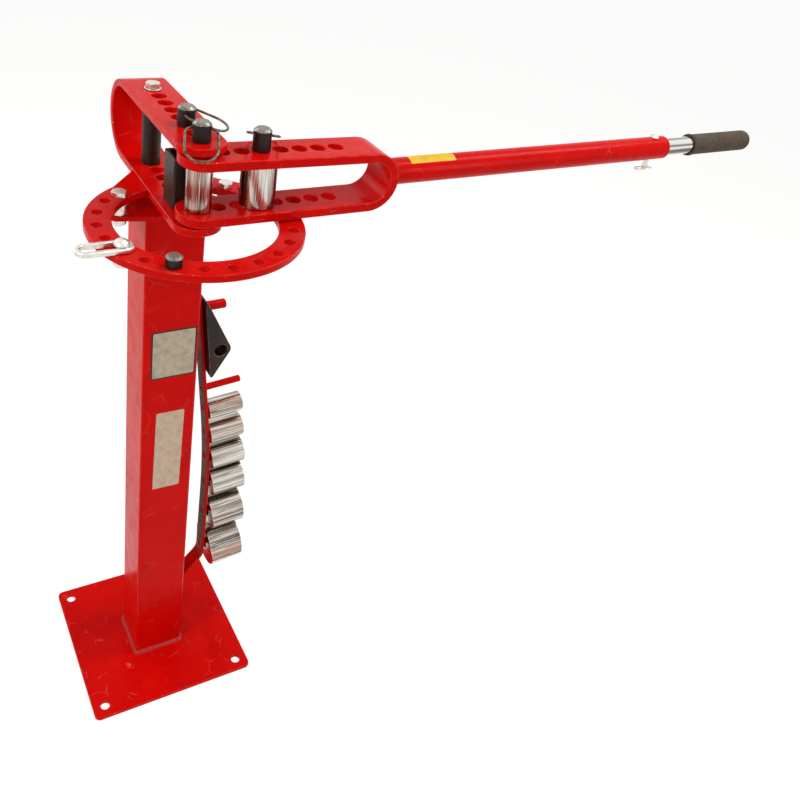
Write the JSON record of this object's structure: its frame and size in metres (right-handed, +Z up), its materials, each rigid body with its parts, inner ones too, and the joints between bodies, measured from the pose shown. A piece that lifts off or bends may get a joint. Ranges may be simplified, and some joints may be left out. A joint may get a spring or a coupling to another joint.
{
  "type": "pipe bender",
  "caption": "Floor-standing manual pipe bender: a square post with a fixed U frame, degree ring, swinging fork with long handle, drive pins, and a side rack of round dies.",
  "frame": {"origin": "middle of the base plate's underside, under the post", "axes": "+X the way the handle points at rest, +Y the closed end of the fixed frame, +Z up"},
  "size_m": [1.1154, 0.3945, 0.9993],
  "materials": {
    "red_enamel": "gloss",
    "black_oxide": "satin",
    "black_paint": "satin",
    "zinc_plate": "satin",
    "dark_wire": "satin",
    "polished_steel": "polished",
    "chrome": "polished",
    "rubber": "matt"
  },
  "bodies": {
    "stand": {"base_plate": "red_enamel", "base_weld": "red_enamel", "post": "red_enamel", "post_top_plate": "red_enamel", "degree_ring": "red_enamel", "frame_arm": "red_enamel", "storage_bracket": "red_enamel", "block_peg": "red_enamel", "die_peg_0": "red_enamel", "die_peg_1": "red_enamel", "die_peg_2": "red_enamel", "die_peg_3": "red_enamel", "die_peg_4": "red_enamel", "die_peg_5": "red_enamel", "die_peg_6": "red_enamel", "pivot_washer": "black_oxide", "reaction_block": "black_paint", "frame_spacer": "black_paint", "ring_bolt_left": "zinc_plate", "ring_bolt_right": "zinc_plate", "ring_nut_left": "zinc_plate", "ring_nut_right": "zinc_plate", "ring_spacer_left": "zinc_plate", "ring_spacer_right": "zinc_plate", "frame_washer_top": "zinc_plate", "frame_washer_bottom": "zinc_plate", "frame_bolt": "zinc_plate", "frame_nut": "zinc_plate"},
    "swing_arm": {"fork_arm": "red_enamel", "handle_tube": "red_enamel", "handle_extension": "chrome", "hand_grip": "rubber"},
    "pivot_pin": {"pivot_pin": "black_oxide"},
    "pivot_bail": {"pivot_bail": "zinc_plate"},
    "frame_pin": {"frame_pin": "black_oxide"},
    "frame_bail": {"frame_bail": "dark_wire"},
    "follower_pin": {"follower_pin": "black_oxide"},
    "follower_bail": {"follower_bail": "dark_wire"},
    "centre_die": {"centre_die": "polished_steel"},
    "follower_die": {"follower_die": "polished_steel"},
    "stop_pin": {"stop_pin": "black_oxide"},
    "link_bolt": {"link_bolt": "zinc_plate", "link_collar": "zinc_plate"},
    "stop_link": {"stop_link": "zinc_plate"},
    "lock_pin": {"lock_pin": "zinc_plate"},
    "lock_pin_clip": {"lock_pin_clip": "zinc_plate"},
    "angle_block": {"angle_block": "black_paint"},
    "rack_die_1": {"rack_die_1": "polished_steel"},
    "rack_die_2": {"rack_die_2": "polished_steel"},
    "rack_die_3": {"rack_die_3": "polished_steel"},
    "rack_die_4": {"rack_die_4": "polished_steel"},
    "rack_die_5": {"rack_die_5": "polished_steel"},
    "rack_die_6": {"rack_die_6": "polished_steel"}
  },
  "joints": [
    {"name": "handle_swing", "type": "hinge", "parent": "stand", "child": "swing_arm", "pos_m": [0, -0.105, 0.9201], "axis": [0, 0, 1], "range_deg": [-102, 2]},
    {"name": "centre_die_spin", "type": "hinge", "parent": "swing_arm", "child": "centre_die", "pos_m": [0, -0.105, 0.9201], "axis": [0, 0, 1], "continuous": true},
    {"name": "follower_die_spin", "type": "hinge", "parent": "swing_arm", "child": "follower_die", "pos_m": [0.075, -0.105, 0.9201], "axis": [0, 0, 1], "continuous": true},
    {"name": "pivot_pin_lift", "type": "slide", "parent": "stand", "child": "pivot_pin", "axis": [0, 0, 1], "range_m": [0, 0.13]},
    {"name": "pivot_bail_swing", "type": "hinge", "parent": "pivot_pin", "child": "pivot_bail", "pos_m": [0, -0.105, 0.9913], "axis": [-0.9397, 0.342, 0], "range_deg": [0, 130]},
    {"name": "frame_pin_lift", "type": "slide", "parent": "stand", "child": "frame_pin", "axis": [0, 0, 1], "range_m": [0, 0.13]},
    {"name": "frame_bail_swing", "type": "hinge", "parent": "frame_pin", "child": "frame_bail", "pos_m": [0, -0.055, 0.9913], "axis": [-0.4848, -0.8746, 0], "range_deg": [0, 130]},
    {"name": "follower_pin_lift", "type": "slide", "parent": "swing_arm", "child": "follower_pin", "axis": [0, 0, 1], "range_m": [0, 0.1]},
    {"name": "follower_bail_swing", "type": "hinge", "parent": "follower_pin", "child": "follower_bail", "pos_m": [0.075, -0.105, 0.97943], "axis": [0.866, -0.5, 0], "range_deg": [0, 130]},
    {"name": "stop_pin_lift", "type": "slide", "parent": "stand", "child": "stop_pin", "axis": [0, 0, 1], "range_m": [0, 0.035]},
    {"name": "link_turn", "type": "hinge", "parent": "stand", "child": "link_bolt", "pos_m": [-0.10405, -0.15396, 0.88], "axis": [0, 0, 1], "continuous": true},
    {"name": "link_slide", "type": "slide", "parent": "link_bolt", "child": "stop_link", "axis": [1, 0, 0], "range_m": [0, 0.038]},
    {"name": "lock_pin_turn", "type": "hinge", "parent": "swing_arm", "child": "lock_pin", "pos_m": [0.73999, -0.105, 0.92038], "axis": [-0.0044, 0, 1], "continuous": true},
    {"name": "clip_pull", "type": "slide", "parent": "lock_pin", "child": "lock_pin_clip", "axis": [-1, 0, -0.0044], "range_m": [0, 0.025]},
    {"name": "angle_block_pull", "type": "slide", "parent": "stand", "child": "angle_block", "axis": [0.9998, 0, 0.0175], "range_m": [0, 0.045]},
    {"name": "rack_die_1_pull", "type": "slide", "parent": "stand", "child": "rack_die_1", "axis": [0.9962, 0, 0.0872], "range_m": [0, 0.062]},
    {"name": "rack_die_2_pull", "type": "slide", "parent": "stand", "child": "rack_die_2", "axis": [0.9962, 0, 0.0872], "range_m": [0, 0.062]},
    {"name": "rack_die_3_pull", "type": "slide", "parent": "stand", "child": "rack_die_3", "axis": [0.9962, 0, 0.0872], "range_m": [0, 0.062]},
    {"name": "rack_die_4_pull", "type": "slide", "parent": "stand", "child": "rack_die_4", "axis": [0.9962, 0, 0.0872], "range_m": [0, 0.062]},
    {"name": "rack_die_5_pull", "type": "slide", "parent": "stand", "child": "rack_die_5", "axis": [0.9962, 0, 0.0872], "range_m": [0, 0.062]},
    {"name": "rack_die_6_pull", "type": "slide", "parent": "stand", "child": "rack_die_6", "axis": [0.9962, 0, 0.0872], "range_m": [0, 0.062]}
  ]
}
